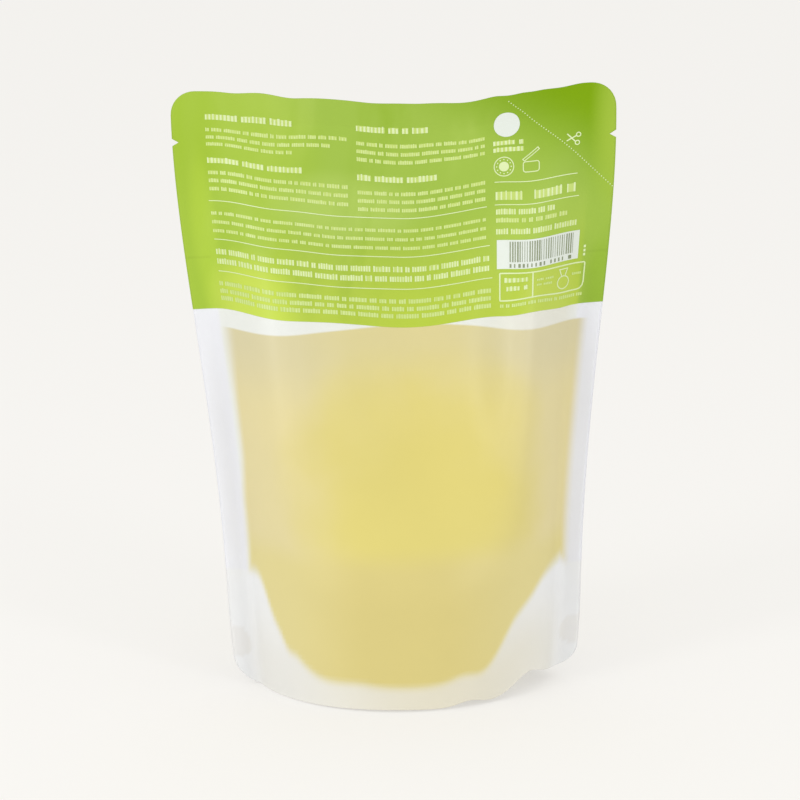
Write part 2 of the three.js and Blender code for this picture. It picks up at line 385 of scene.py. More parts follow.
def noiseNode(tree, where, **settings):
    node = addNode(tree, "ShaderNodeTexNoise", **settings)
    tree.links.new(where, node.inputs["Vector"])
    return node.outputs["Fac"]


def shareFrom(tree, value, middle, half):
    return mathNode(tree, "DIVIDE", mathNode(tree, "SUBTRACT", value, middle), half)


# Roughness from least upwards with the cloud, and fine relief
def finishSurface(tree, shader, cloud, least, relief, strength, distance):
    rough = mathNode(tree, "MULTIPLY_ADD", cloud, 0.12, least)
    tree.links.new(rough, shader.inputs["Roughness"])
    bump = addNode(tree, "ShaderNodeBump", Strength=strength, Distance=distance)
    tree.links.new(relief, bump.inputs["Height"])
    tree.links.new(bump.outputs["Normal"], shader.inputs["Normal"])


filmLook = {
    "bay": colour(232, 234, 229),
    "seal": colour(233, 234, 239),
    "plies": colour(236, 237, 238),
    "warm": colour(224, 219, 200),
    "dryAlpha": 0.75,
    "soakedAlpha": 0.82,
    "levelBlur": 0.4,
    "leastRough": 0.32,
    "gloss": 0.25,
}

# The printed green. Places are in millimetres on the flat panel.
greenLook = {
    "middle": colour(145, 173, 67),
    # Painted light: the green is lighter on the left, nearer the left lamp
    "left": colour(151, 179, 60),
    "leftFrom": -25.0,
    "leftTo": -60.0,
    # Painted light: the green is lighter low down in the bay, where light comes through it from behind
    "low": colour(168, 188, 64),
    "lowFrom": 176.3,
    "lowTo": 130.3,
    # Painted shade: the upper right corner, which turns away from the light, is deeper and darker
    "corner": colour(113, 149, 2),
    "cornerSlope": 0.6,
    "cornerFrom": 205.0,
    "cornerTo": 243.0,
    # Painted sheen: a cloud of paler, whiter green where soft lamp reflections lie on the film
    "paintedSheen": colour(168, 190, 92),
    "paintedSheenFrom": 0.54,
    "paintedSheenTo": 0.84,
    "deep": colour(128, 160, 34),
    "deepFrom": 0.46,
    "deepTo": 0.18,
    "edge": 132.3,
    "edgeBlur": 0.12,
    "crossSeal": 150.3,
    "crossSealShade": 0.06,
    "gloss": 0.1,
}

# Soft fields of painted highlight and painted shade in the green: across, up, half width, half height,
# colour, strength
greenFields = [
    (-54, 190, 34, 32, colour(145, 174, 48), 0.85),
    (-18, 172, 32, 14, colour(163, 187, 90), 0.7),
    (79, 193, 14, 38, colour(152, 178, 62), 0.85),
    (50, 160, 22, 20, colour(158, 184, 78), 0.6),
    (-67, 158, 6, 34, colour(163, 190, 62), 0.65),
    (75, 137, 10, 24, colour(132, 165, 46), 0.6),
    (-51, 135, 21, 22, colour(185, 203, 80), 0.9),
    (54, 136, 15, 18, colour(176, 193, 82), 0.85),
]


# What the soap looks like through the film, and its own colours
seenSoap = {
    "side": colour(221, 209, 157),
    "top": colour(215, 204, 148),
    "topSide": colour(211, 202, 162),
    "heart": colour(216, 203, 118),
    # Darker below the base fold: painted shade
    "low": colour(211, 197, 127),
    "lowSide": colour(219, 207, 144),
}
ownSoap = {
    "side": colour(228, 217, 154),
    "top": colour(220, 208, 132),
    "topSide": colour(219, 208, 150),
    "heart": colour(222, 209, 110),
    # Darker below the base fold: painted shade
    "low": colour(218, 205, 124),
    "lowSide": colour(228, 215, 138),
}


# Where those colours lie, in millimetres
soapPlaces = {
    "heartAcross": 6.0,
    "heartHalfWidth": 45.0,
    "heartUp": 78.0,
    "heartHalfHeight": 42.0,
    "heartPower": 2.6,
    "heartTo": 1.6,
    "heartWander": 1.4,
    "sideFrom": 12.0,
    "sideTo": 46.0,
    "topFrom": 98.0,
    "topTo": 124.0,
    "lowFrom": 58.0,
    "lowTo": 46.0,
}


# Yellow, brightest in the middle of the pouch, and duller below the base fold as painted shade, where the
# gusset keeps light from the soap
def soapColours(tree, across, up, look):
    places = soapPlaces

    def away(value, middle, half):
        share = mathNode(tree, "ABSOLUTE", shareFrom(tree, value, middle, half))
        return mathNode(tree, "POWER", share, places["heartPower"])

    wander = noiseNode(tree, placeNode(tree), Scale=26.0, Detail=3.0)
    wander = mathNode(tree, "MULTIPLY_ADD", wander, places["heartWander"], -places["heartWander"] / 2)
    farAcross = away(across, places["heartAcross"], places["heartHalfWidth"])
    farUp = away(up, places["heartUp"], places["heartHalfHeight"])
    far = mathNode(tree, "ADD", mathNode(tree, "ADD", farAcross, farUp), wander)
    aside = rampNode(tree, mathNode(tree, "ABSOLUTE", across), places["sideFrom"], places["sideTo"])
    top = mixColours(tree, aside, look["top"], look["topSide"])
    low = mixColours(tree, aside, look["low"], look["lowSide"])
    made = mixColours(tree, rampNode(tree, up, places["topFrom"], places["topTo"]), look["side"], top)
    made = mixColours(tree, rampNode(tree, far, places["heartTo"], 0.0), made, look["heart"])
    # Painted shade below the base fold
    return mixColours(tree, rampNode(tree, up, places["lowFrom"], places["lowTo"]), made, low)


def softField(tree, across, up, place, height, halfAcross, halfUp):
    aside = shareFrom(tree, across, place, halfAcross)
    above = shareFrom(tree, up, height, halfUp)
    far = mathNode(tree, "MULTIPLY_ADD", aside, aside, mathNode(tree, "MULTIPLY", above, above))
    return rampNode(tree, far, 1.0, 0.0)


# Green that is lighter low down and on the left as painted light, deeper in the upper right corner as
# painted shade, with soft fields of painted highlight and shade, and cloudy with painted sheen
def greenColours(tree, across, up, where, fused):
    look = greenLook
    # Painted light: lighter low down in the bay, where light comes through from behind
    low = rampNode(tree, up, look["lowFrom"], look["lowTo"])
    low = mathNode(tree, "MULTIPLY", low, mathNode(tree, "SUBTRACT", 1.0, fused))
    green = mixColours(tree, low, look["middle"], look["low"])
    # Painted light: lighter on the left, towards the left lamp
    left = rampNode(tree, across, look["leftFrom"], look["leftTo"])
    green = mixColours(tree, left, green, look["left"])
    # Painted shade: deeper in the upper right corner
    corner = mathNode(tree, "MULTIPLY_ADD", across, look["cornerSlope"], up)
    corner = rampNode(tree, corner, look["cornerFrom"], look["cornerTo"])
    green = mixColours(tree, corner, green, look["corner"])
    # Soft fields of painted highlight and painted shade, full on the back panel and weak on the front one
    mottled = fieldNode(tree, "mottled")
    for place, height, halfAcross, halfUp, fieldColour, strength in greenFields:
        share = softField(tree, across, up, place, height, halfAcross, halfUp)
        share = mathNode(tree, "MULTIPLY", share, mathNode(tree, "MULTIPLY", mottled, strength))
        green = mixColours(tree, share, green, fieldColour)
    stretched = addNode(tree, "ShaderNodeMapping", Scale=(1.0, 1.0, 0.42))
    tree.links.new(where, stretched.inputs["Vector"])
    where = stretched.outputs["Vector"]
    # A cloud of painted sheen, and of deeper green
    cloudy = noiseNode(tree, where, Scale=17.0, Detail=4.0, Roughness=0.62, Distortion=0.5)
    for kind in ("paintedSheen", "deep"):
        share = rampNode(tree, cloudy, look[kind + "From"], look[kind + "To"])
        green = mixColours(tree, share, green, look[kind])
    return green


# Matte film. Where soap wets its inner face it takes the soap's colour, and where it is fused it is greyer.
def makeFilmMaterial(name, printed):
    material, tree, shader = newMaterial(name)
    links = tree.links
    place = addNode(tree, "ShaderNodeAttribute", attribute_name="filmPlace")
    split = addNode(tree, "ShaderNodeSeparateXYZ")
    links.new(place.outputs["Vector"], split.inputs[0])
    across, up = split.outputs["X"], split.outputs["Y"]
    tint, glow, plies = (fieldNode(tree, field) for field in ("tint", "glow", "plies"))
    fused, level = (fieldNode(tree, field) for field in ("fused", "level"))
    blur = filmLook["levelBlur"]
    tint = mathNode(tree, "MULTIPLY", tint, rampNode(tree, level, blur, -blur))
    where = placeNode(tree)
    cloud = noiseNode(tree, where, Scale=34.0, Detail=3.0)
    grain = noiseNode(tree, where, Scale=2400.0, Detail=2.0)

    base = mixColours(tree, fused, filmLook["bay"], filmLook["seal"])
    base = mixColours(tree, plies, base, filmLook["plies"])
    base = mixColours(tree, glow, base, filmLook["warm"])
    base = mixColours(tree, tint, base, soapColours(tree, across, up, seenSoap))
    dry = filmLook["dryAlpha"]
    alpha = mathNode(tree, "MULTIPLY_ADD", tint, filmLook["soakedAlpha"] - dry, dry)
    gloss = filmLook["gloss"]
    shader.inputs["Specular IOR Level"].default_value = gloss
    if printed:
        look = greenLook
        ink = rampNode(tree, up, look["edge"] - look["edgeBlur"], look["edge"] + look["edgeBlur"])
        base = mixColours(tree, ink, base, greenColours(tree, across, up, where, fused))
        alpha = mathNode(tree, "MAXIMUM", alpha, ink)
        gloss = mathNode(tree, "MULTIPLY_ADD", ink, look["gloss"] - gloss, gloss)
        links.new(gloss, shader.inputs["Specular IOR Level"])
        fromSeal = mathNode(tree, "ABSOLUTE", mathNode(tree, "SUBTRACT", up, look["crossSeal"]))
        pressed = mathNode(tree, "MULTIPLY", rampNode(tree, fromSeal, 0.7, 0.1), fused)
        shade = mathNode(tree, "MULTIPLY_ADD", pressed, -look["crossSealShade"], 1.0)
        base = mixColours(tree, 1.0, base, shade, "MULTIPLY")
    shade = mathNode(tree, "MULTIPLY_ADD", cloud, 0.06, 0.97)
    base = mixColours(tree, 1.0, base, shade, "MULTIPLY")
    links.new(base, shader.inputs["Base Color"])
    links.new(alpha, shader.inputs["Alpha"])
    finishSurface(tree, shader, cloud, filmLook["leastRough"], grain, 0.12, 0.0002)
    return material


def makeSoapMaterial():
    material, tree, shader = newMaterial("yellowSoap")
    where = placeNode(tree)
    split = addNode(tree, "ShaderNodeSeparateXYZ")
    tree.links.new(where, split.inputs[0])
    across, up = (mathNode(tree, "MULTIPLY", split.outputs[axis], 1 / mm) for axis in ("X", "Z"))
    tree.links.new(soapColours(tree, across, up, ownSoap), shader.inputs["Base Color"])
    cloud = noiseNode(tree, where, Scale=30.0, Detail=2.0)
    finishSurface(tree, shader, cloud, 0.45, cloud, 0.05, 0.001)
    setInputs(shader, {
        "Specular IOR Level": 0.2,
        "Subsurface Weight": 0.35,
        "Subsurface Radius": (1.0, 0.85, 0.35),
        "Subsurface Scale": 0.01,
    })
    return material


def makeInkMaterial(name, thin, thick):
    material, tree, shader = newMaterial(name)
    cloud = noiseNode(tree, placeNode(tree), Scale=160.0, Detail=3.0)
    tree.links.new(mixColours(tree, cloud, thin, thick), shader.inputs["Base Color"])
    finishSurface(tree, shader, cloud, 0.4, cloud, 0.1, 0.0001)
    return material


printedFilm = makeFilmMaterial("printedFilm", True)
plainFilm = makeFilmMaterial("frostedFilm", False)
yellowSoap = makeSoapMaterial()
paleInk = makeInkMaterial("paleInk", colour(204, 217, 168), colour(194, 209, 148))
softInk = makeInkMaterial("softInk", colour(194, 210, 140), colour(186, 204, 122))
hazeInk = makeInkMaterial("hazeInk", colour(178, 198, 100), colour(172, 193, 92))
panelInk = makeInkMaterial("panelInk", colour(208, 214, 208), colour(202, 208, 198))
darkInk = makeInkMaterial("darkInk", colour(110, 120, 92), colour(134, 144, 112))


def mirroredColumns(columns):
    return np.array([-c for c in reversed(columns[1:])] + list(columns))


bayColumns = list(np.linspace(0, bayHalf - 1.2, 46)) + [bayHalf - 0.5]
sealColumns = list(np.linspace(bayHalf, halfWidth, 9))
filmColumns = mirroredColumns(bayColumns + sealColumns)


def cornerRows(radius, count):
    return radius * (1 - np.cos(np.linspace(0, np.pi / 2, count)))


# How the soap spreads behind the film: its reach past the side seals, and how far the weld hides it
soapEdge = {
    "leftReach": -3.1,
    "leftReachLow": -1.2,
    "leftFrom": 64.0,
    "leftTo": 84.0,
    "rightReach": 2.4,
    "overWeld": 1.2,
    "shifts": [(-58.5, 9.5, 6.9), (-44.5, 5, -2.5), (57, 15, 5.5), (41, 10, 2.6), (26, 9, -2.2)],
    "blur": 2.3,
    "leftBlurMore": 0.6,
}

# Where light that has come through the soap warms the film: the foot, the dry film at the right just below
# the level, and the film over the punches
warmth = {
    "footFrom": 44,
    "footTo": 6,
    "footLeast": 0.35,
    "footLeft": -50,
    "footMiddle": 10,
    "footRight": 80,
    "rim": 2,
    "rimBlur": 14,
    "right": 0.45,
    "punch": 0.3,
    "gusset": 0.3,
}
# How much of the green's painted highlight and shade the front panel gets
frontPaintedLightShare = 0.2


# Millimetres from a place on a panel to the edge of the soap seen behind it, above zero over the soap
def soapDistance(u, v):
    share = np.minimum(np.abs(u) / bayHalf, 1)
    power = shape["weldPower"]
    slope = (pouch["gussetHeight"] - pouch["baseSeal"]) * power * share ** (power - 1) / bayHalf
    weld = weldHeight(u) + soapEdge["overWeld"]
    for place, half, lift in soapEdge["shifts"]:
        weld = weld + lift * softBump((u - place) / half)
    lower, upper = soapEdge["leftReachLow"], soapEdge["leftReach"]
    left = lower + (upper - lower) * smoothStep(v, soapEdge["leftFrom"], soapEdge["leftTo"])
    reach = bayHalf + np.where(u < 0, left, soapEdge["rightReach"])
    return np.minimum(reach - np.abs(u), (v - weld) / np.sqrt(1 + slope**2))


def warmGlow(u, v, tint):
    sides = smoothStep(u, warmth["footLeft"], warmth["footMiddle"])
    sides = sides * smoothStep(u, warmth["footRight"], warmth["footMiddle"])
    foot = smoothStep(v, warmth["footFrom"], warmth["footTo"])
    foot = foot * (warmth["footLeast"] + (1 - warmth["footLeast"]) * sides)
    foot = foot * smoothStep(halfWidth - warmth["rim"] - np.abs(u), 0, warmth["rimBlur"]) * (1 - tint)
    right = smoothStep(v, 116, 124) * smoothStep(u, 25, 45) * smoothStep(u, 66, 60)
    return foot + warmth["right"] * right


def addFilmFields(made, **fields):
    for name, values in fields.items():
        addValues(made, name, np.concatenate([values.reshape(-1), values.reshape(-1)]))


def makePanel(name, side):
    height = pouch["height"]
    notch = height - pouch["notchBelowTop"]
    notchHalf = pouch["notchHeight"] / 2
    rows = np.concatenate([
        cornerRows(pouch["bottomCornerRadius"], 8)[:-1],
        np.linspace(pouch["bottomCornerRadius"], notch - notchHalf, 130),
        np.linspace(notch - notchHalf, notch + notchHalf, 7)[1:],
        np.linspace(notch + notchHalf, height - pouch["topCornerRadius"], 7)[1:-1],
        height - cornerRows(pouch["topCornerRadius"], 10)[::-1],
        bayTop + np.array([-0.5, 0, 0.5]),
    ])
    rows = np.unique(rows.round(4))
    columns = filmColumns if side < 0 else filmColumns[::-1]
    u, v = np.meshgrid(columns, rows)
    u = fitColumn(u, panelHalfWidth(v))
    gap = pouch["panelOffset"] - pouch["plyOffset"]
    offset = pouch["panelOffset"] - gap * smoothStep(v, pouch["gussetHeight"], pouch["gussetHeight"] + 12)
    filmHalf = pouch["filmThickness"] / 2
    outer = filmPoints(u, v, side, offset + filmHalf)
    inner = filmPoints(u, v, side, offset - filmHalf)
    made = sheetObject(name, outer, inner, bothFaces(u, v), printedFilm, height)
    inside = soapDistance(u, v)
    level = heightAt(u, v) - pouch["fillLevel"]
    blur = soapEdge["blur"] * (1 + soapEdge["leftBlurMore"] * smoothStep(v, 100, 120) * (u < 0))
    tint = smoothStep(inside, -blur, blur)
    fused = 1 - smoothStep(bayHalf - np.abs(u), -0.4, 1.2) * smoothStep(v - weldHeight(u), -0.6, 0.6)
    overGusset = smoothStep(v, pouch["gussetHeight"] + 0.3, pouch["gussetHeight"] - 0.3)
    besidePunch = smoothStep(gussetHalfWidth(v) - np.abs(u), -0.3, 0.3)
    glow = warmGlow(u, v, tint) + warmth["punch"] * overGusset * (1 - besidePunch)
    plies = overGusset * besidePunch * (1 - tint)
    # Share of the green's painted highlight and shade: full on the back panel, weak on the front one
    mottled = 0 * u + (1.0 if side < 0 else frontPaintedLightShare)
    addFilmFields(made, tint=tint, glow=glow, fused=fused, plies=plies, level=level, mottled=mottled)
    return made


def weldHeight(u):
    share = np.minimum(np.abs(u) / bayHalf, 1)
    rise = share ** shape["weldPower"]
    height = pouch["baseSeal"] + (pouch["gussetHeight"] - pouch["baseSeal"]) * rise
    for place, half, lift in shape["weldShifts"]:
        height = height + lift * softBump((u - place) / half)
    return height


def keelHeight(u):
    share = np.minimum(np.abs(u) / bayHalf, 1)
    flat = shape["flatShare"]
    rise = np.maximum(0, (share - flat) / (1 - flat)) ** shape["keelPower"]
    foldEnd = heightAt(np.sign(u) * bayHalf, pouch["gussetHeight"] + 0 * u)
    return np.maximum(foldEnd * rise, pouch["filmThickness"] / 2)


def baseFilmHeight(u, along):
    outward = np.cos(along * np.pi / 2)
    rest = shape["restShare"]
    slope = np.maximum(0, (outward - rest) / (1 - rest)) ** 2
    keel = keelHeight(u)
    return keel + (heightAt(u, weldHeight(u)) - keel) * slope


def baseFilmDepth(u, along, offset):
    return (sectionAt(u, weldHeight(u))[1] + offset) * np.cos(along * np.pi / 2)


def gridNormals(grid):
    right = np.gradient(grid, axis=1)
    up = np.gradient(grid, axis=0)
    normal = np.cross(right, up)
    return normal / np.linalg.norm(normal, axis=-1, keepdims=True)


def makeGusset():
    gussetHeight = pouch["gussetHeight"]
    centre = pouch["punchAboveBottom"]
    radius = pouch["punchHeight"] / 2
    filmHalf = pouch["filmThickness"] / 2
    weldRows = np.concatenate([
        cornerRows(pouch["bottomCornerRadius"], 5)[:-1],
        np.linspace(pouch["bottomCornerRadius"], centre - radius, 3)[:-1],
        centre - radius * np.cos(np.linspace(0, np.pi, 21)),
        np.linspace(centre + radius, gussetHeight, 10)[1:-1],
    ]) / gussetHeight
    alongRows = np.linspace(0, 1, 22)[:-1]
    columns = filmColumns
    ply = pouch["plyOffset"]

    def half(side):
        u, share = np.meshgrid(columns, weldRows)
        u = fitColumn(u, gussetHalfWidth(share * gussetHeight))
        weld = filmPoints(u, share * weldHeight(u), side, ply)
        b, along = np.meshgrid(columns, alongRows)
        base = basePoints(b, along, side)
        return np.concatenate([weld, base]), np.concatenate([u, b])

    def basePoints(u, along, side):
        start = filmPoints(u, weldHeight(u), side, ply)
        foldRound = ply * np.minimum(np.abs(u) / bayHalf, 1) ** 8
        start[..., 1] = side * baseFilmDepth(u, along, ply)
        start[..., 2] = baseFilmHeight(u, along) + foldRound * np.sin(along * np.pi / 2)
        return start

    back, u = half(-1)
    front, _ = half(1)
    middle = basePoints(columns[None, :], np.ones((1, len(columns))), -1)
    grid = np.concatenate([back, middle, front[::-1]])
    allColumns = np.concatenate([u, columns[None, :], u[::-1]])
    rowPlace = np.concatenate([weldRows, 1 + alongRows])
    rowPlace = np.concatenate([rowPlace, [2], 4 - rowPlace[::-1]])[:, None] + 0 * allColumns
    normals = gridNormals(grid)
    outer = grid + normals * filmHalf
    inner = grid - normals * filmHalf
    outer[..., 2] = np.maximum(outer[..., 2], 0)
    inner[..., 2] = np.maximum(inner[..., 2], 0)
    made = sheetObject("baseGusset", outer, inner, bothFaces(allColumns, rowPlace), plainFilm, 4.0)
    overBase = np.minimum(rowPlace, 4 - rowPlace) - 1
    wet = smoothStep(overBase, 0, 0.15) * smoothStep(bayHalf - np.abs(allColumns), 0.5, 6)
    none = 0 * wet
    glow = none + warmth["gusset"]
    belowLevel = none - 50
    addFilmFields(made, tint=0.7 * wet, glow=glow, fused=1 - wet, plies=none, level=belowLevel)
    return made


def makeSoap():
    columns = mirroredColumns(bayColumns[:-1])
    inset = pouch["soapInset"]
    level = pouch["fillLevel"]
    top = np.full_like(columns, level)
    for _ in range(5):
        top = top + level - heightAt(columns, top)
    bottom = weldHeight(columns) + pouch["soapAboveWeld"]
    wallShares = np.linspace(0, 1, 70)[:, None]
    alongShares = np.linspace(0, 1, 24)[1:, None]

    def halfLoop(side):
        v = top + (bottom - top) * wallShares
        u = columns + 0 * v
        wall = filmPoints(u, v, side, -inset)
        wall[0, :, 2] = level
        floor = filmPoints(columns + 0 * alongShares, bottom + 0 * alongShares, side, -inset)
        floor[..., 1] = side * baseFilmDepth(columns, alongShares, -inset)
        floor[..., 2] = baseFilmHeight(columns, alongShares) + pouch["filmThickness"] / 2 + pouch["soapRise"]
        return np.concatenate([wall, floor])

    back = halfLoop(-1)
    front = halfLoop(1)[:-1][::-1]
    capSteps = np.linspace(1, 0, 12)[1:-1, None, None]
    cap = back[:1] + (front[-1:] - back[:1]) * capSteps
    loops = np.concatenate([back, front, cap])
    count, width = loops.shape[:2]
    index = np.arange(count * width).reshape(count, width)
    following = np.roll(index, -1, axis=0)
    faces = np.stack([index[:, :-1], following[:, :-1], following[:, 1:], index[:, 1:]], -1).reshape(-1, 4)
    faces = faces.tolist()
    faces.append(index[::-1, 0].tolist())
    faces.append(index[:, -1].tolist())
    return objectFrom("liquidSoap", loops.reshape(-1, 3), faces, yellowSoap)


# Print on the back panel, laid out on the flat film in millimetres. Lettering is only hinted at by rows of
# plain blocks: (from, to, height of the line's foot), in groups that share a size.
printRows = {
    "heading": {
        "rows": [(-63.5, -34.0, 198.5), (-63.5, -31.0, 182.6), (-12.8, 11.8, 198.1), (-12.8, 14.5, 181.8)],
        "pitch": 1.25, "height": 2.1, "width": 0.9, "ink": "pale", "spread": 0.25,
    },
    "body": {
        "rows": [
            (-63.5, -15.8, 194.3), (-63.5, -21.5, 191.6), (-63.5, -34.3, 189.0),
            (-63.5, -15.8, 178.7), (-63.5, -15.8, 176.0), (-63.5, -15.8, 173.2),
            (-12.8, 30.7, 193.4), (-12.8, 30.7, 190.7), (-12.8, 30.7, 188.0),
            (-12.8, 30.7, 177.3), (-12.8, 30.7, 174.6), (-12.8, 30.7, 171.8),
        ],
        "pitch": 0.74, "height": 1.4, "width": 0.52, "ink": "soft", "spread": 0.4,
    },
    "fine": {
        "rows": [(-63.8, 30.8, 164.9), (-63.8, 30.8, 161.9), (-63.8, 30.8, 158.9), (35.3, 67.4, 135.2)],
        "pitch": 0.76, "height": 1.25, "width": 0.5, "ink": "soft", "spread": 0.35,
    },
    "bold": {
        "rows": [(-63.6, 31.9, 151.3), (-63.6, 31.9, 148.0), (34.0, 54.5, 166.7), (34.0, 63.0, 160.0)],
        "pitch": 0.88, "height": 2.05, "width": 0.6, "ink": "pale", "spread": 0.25,
    },
    "spaced": {
        "rows": [(-63.9, 32.5, 140.5), (-63.9, 32.5, 137.9), (-63.9, 32.5, 135.4), (34.0, 59.3, 164.0)],
        "pitch": 0.9, "height": 1.65, "width": 0.55, "ink": "soft", "spread": 0.3,
    },
    "slogan": {
        "rows": [(33.3, 44.0, 190.6), (33.3, 44.0, 188.2), (36.8, 45.6, 143.6), (37.5, 45.6, 140.7)],
        "pitch": 1.3, "height": 1.7, "width": 0.85, "ink": "pale", "spread": 0.2,
    },
    "volume": {
        "rows": [(33.9, 43.8, 171.6), (47.0, 62.4, 171.6)],
        "pitch": 1.5, "height": 3.1, "width": 0.75, "ink": "pale", "spread": 0.15,
    },
    "boxNote": {
        "rows": [(48.3, 55.0, 143.2), (48.3, 54.5, 141.3), (62.3, 66.3, 142.8)],
        "pitch": 0.7, "height": 0.9, "width": 0.42, "ink": "soft", "spread": 0.3,
    },
    "barNote": {
        "rows": [(38.6, 62.5, 148.7)],
        "pitch": 1.5, "height": 1.3, "width": 0.8, "ink": "dark", "spread": 0.06,
    },
}
barRow = {
    "from": (38.6, 150.6), "to": (61.6, 150.6),
    "pitch": 0.83, "height": 6.9, "width": 0.52, "widthSpread": 0.75,
}
cutLine = {
    "from": (38.6, 205.8), "to": (74.3, 172.2),
    "pitch": 1.06, "height": 0.36, "width": 0.36, "widthSpread": 0.0,
}

# How far the inks' faces stand over the film
inkLift = {
    "haze": (0.01, 0.04),
    "marks": (0.02, 0.07),
    "rows": 0.02,
    "darkRows": 0.08,
    "rowThickness": 0.05,
}
printStep = 1.2  # longest side of a printed shape's faces


# Rows of blocks: every edge of the mesh becomes a row, and every block stands on it.
def makeRowTree():
    tree = bpy.data.node_groups.new("blockRows", "GeometryNodeTree")
    sizes = ("Pitch", "Block Width", "Block Height", "Width Spread", "Height Spread")
    kinds = {"Geometry": "Geometry"} | {name: "Float" for name in sizes} | {"Seed": "Int", "Ink": "Material"}
    for name, kind in kinds.items():
        tree.interface.new_socket(name, in_out="INPUT", socket_type=f"NodeSocket{kind}")
    tree.interface.new_socket("Geometry", in_out="OUTPUT", socket_type="NodeSocketGeometry")
    nodes, links = tree.nodes, tree.links
    start = nodes.new("NodeGroupInput").outputs
    curve = nodes.new("GeometryNodeMeshToCurve")
    links.new(start["Geometry"], curve.inputs["Mesh"])
    resample = nodes.new("GeometryNodeResampleCurve")
    resample.mode = "LENGTH"
    links.new(curve.outputs["Curve"], resample.inputs["Curve"])
    links.new(start["Pitch"], resample.inputs["Length"])
    block = nodes.new("GeometryNodeMeshCube")
    block.inputs["Size"].default_value = (1, 1, 1)
    lifted = nodes.new("GeometryNodeTransform")
    links.new(block.outputs["Mesh"], lifted.inputs["Geometry"])
    lifted.inputs["Translation"].default_value = (0.5, 0.5, 0.5)

    def randomShare(spread, offset):
        least = mathNode(tree, "SUBTRACT", 1.0, spread)
        share = nodes.new("FunctionNodeRandomValue")
        links.new(least, share.inputs[2])
        share.inputs[3].default_value = 1.0
        links.new(mathNode(tree, "ADD", start["Seed"], offset), share.inputs["Seed"])
        return share.outputs[1]

    size = nodes.new("ShaderNodeCombineXYZ")
    for axis, side in enumerate(("Width", "Height")):
        share = randomShare(start[f"{side} Spread"], axis + 1)
        links.new(mathNode(tree, "MULTIPLY", start[f"Block {side}"], share), size.inputs[axis])
    size.inputs[2].default_value = inkLift["rowThickness"]
    instances = nodes.new("GeometryNodeInstanceOnPoints")
    links.new(resample.outputs["Curve"], instances.inputs["Points"])
    links.new(lifted.outputs["Geometry"], instances.inputs["Instance"])
    links.new(size.outputs[0], instances.inputs["Scale"])
    realize = nodes.new("GeometryNodeRealizeInstances")
    links.new(instances.outputs["Instances"], realize.inputs["Geometry"])
    inked = nodes.new("GeometryNodeSetMaterial")
    links.new(realize.outputs["Geometry"], inked.inputs["Geometry"])
    links.new(start["Ink"], inked.inputs["Material"])
    links.new(inked.outputs["Geometry"], nodes.new("NodeGroupOutput").inputs["Geometry"])
    return tree


rowTree = makeRowTree()


# Flat points and faces of the blocks along straight rows
def blocksAlong(ends, ink, seed, look):
    mesh = bpy.data.meshes.new("rows")
    points = [(u, v, 0) for row in ends for u, v in row]
    mesh.from_pydata(points, [(i, i + 1) for i in range(0, len(points), 2)], [])
    rows = placed("rows", mesh)
    modifier = rows.modifiers.new("blocks", "NODES")
    modifier.node_group = rowTree
    values = {
        "Pitch": look["pitch"], "Block Width": look["width"], "Block Height": look["height"],
        "Width Spread": look.get("widthSpread", 0.5), "Height Spread": look.get("spread", 0.0),
        "Seed": seed, "Ink": ink,
    }
    for socket in rowTree.interface.items_tree:
        if socket.in_out == "INPUT" and socket.name in values:
            modifier[socket.identifier] = values[socket.name]
    made = bpy.data.meshes.new_from_object(rows.evaluated_get(bpy.context.evaluated_depsgraph_get()))
    flat = np.array([tuple(p.co) for p in made.vertices]).reshape(-1, 3)
    faces = [tuple(face.vertices) for face in made.polygons]
    bpy.data.objects.remove(rows)
    bpy.data.meshes.remove(made)
    bpy.data.meshes.remove(mesh)
    return flat, faces


# A flat shape given a thickness, closed round its boundary
def raised(flat, faces, low, high):
    count = len(flat)
    upper = np.column_stack([flat, np.full(count, high)])
    lower = np.column_stack([flat, np.full(count, low)])
    edges = {(face[i - 1], face[i]) for face in faces for i in range(len(face))}
    sides = [(b, a, a + count, b + count) for a, b in sorted(edges) if (b, a) not in edges]
    under = [tuple(i + count for i in reversed(face)) for face in faces]
    return np.concatenate([upper, lower]), list(faces) + under + sides


def plateShape(left, bottom, right, top):
    across = max(2, math.ceil((right - left) / printStep) + 1)
    up = max(2, math.ceil((top - bottom) / printStep) + 1)
    u, v = np.meshgrid(np.linspace(left, right, across), np.linspace(bottom, top, up))
    index = np.arange(across * up).reshape(up, across)
    faces = np.stack([index[:-1, :-1], index[:-1, 1:], index[1:, 1:], index[1:, :-1]], -1).reshape(-1, 4)
    return np.column_stack([u.reshape(-1), v.reshape(-1)]), [tuple(face) for face in faces.tolist()]


# A line of even width through the points, round a closed path if asked
def lineShape(path, width, closed=False):
    path = np.asarray(path, float)
    if closed:
        path = np.concatenate([path, path[:1]])
    pieces = []
    for a, b in zip(path[:-1], path[1:]):
        steps = max(1, math.ceil(np.linalg.norm(b - a) / printStep))
        pieces.append(a + (b - a) * np.linspace(0, 1, steps, endpoint=False)[:, None])
    path = np.concatenate(pieces if closed else pieces + [path[-1:]])
    following = np.roll(path, -1, 0) - path
    leading = path - np.roll(path, 1, 0)
    if not closed:
        following[-1], leading[0] = leading[-1], following[0]
    following /= np.linalg.norm(following, axis=1, keepdims=True)
    leading /= np.linalg.norm(leading, axis=1, keepdims=True)
    along = following + leading
    along /= np.linalg.norm(along, axis=1, keepdims=True)
    across = np.column_stack([-along[:, 1], along[:, 0]])
    reach = width / 2 / np.maximum((across * np.column_stack([-leading[:, 1], leading[:, 0]])).sum(1), 0.5)
    left, right = path + across * reach[:, None], path - across * reach[:, None]
    count = len(path)
    flat = np.concatenate([right, left])
    last = count if closed else count - 1
    faces = [(i, (i + 1) % count, (i + 1) % count + count, i + count) for i in range(last)]
    return flat, faces


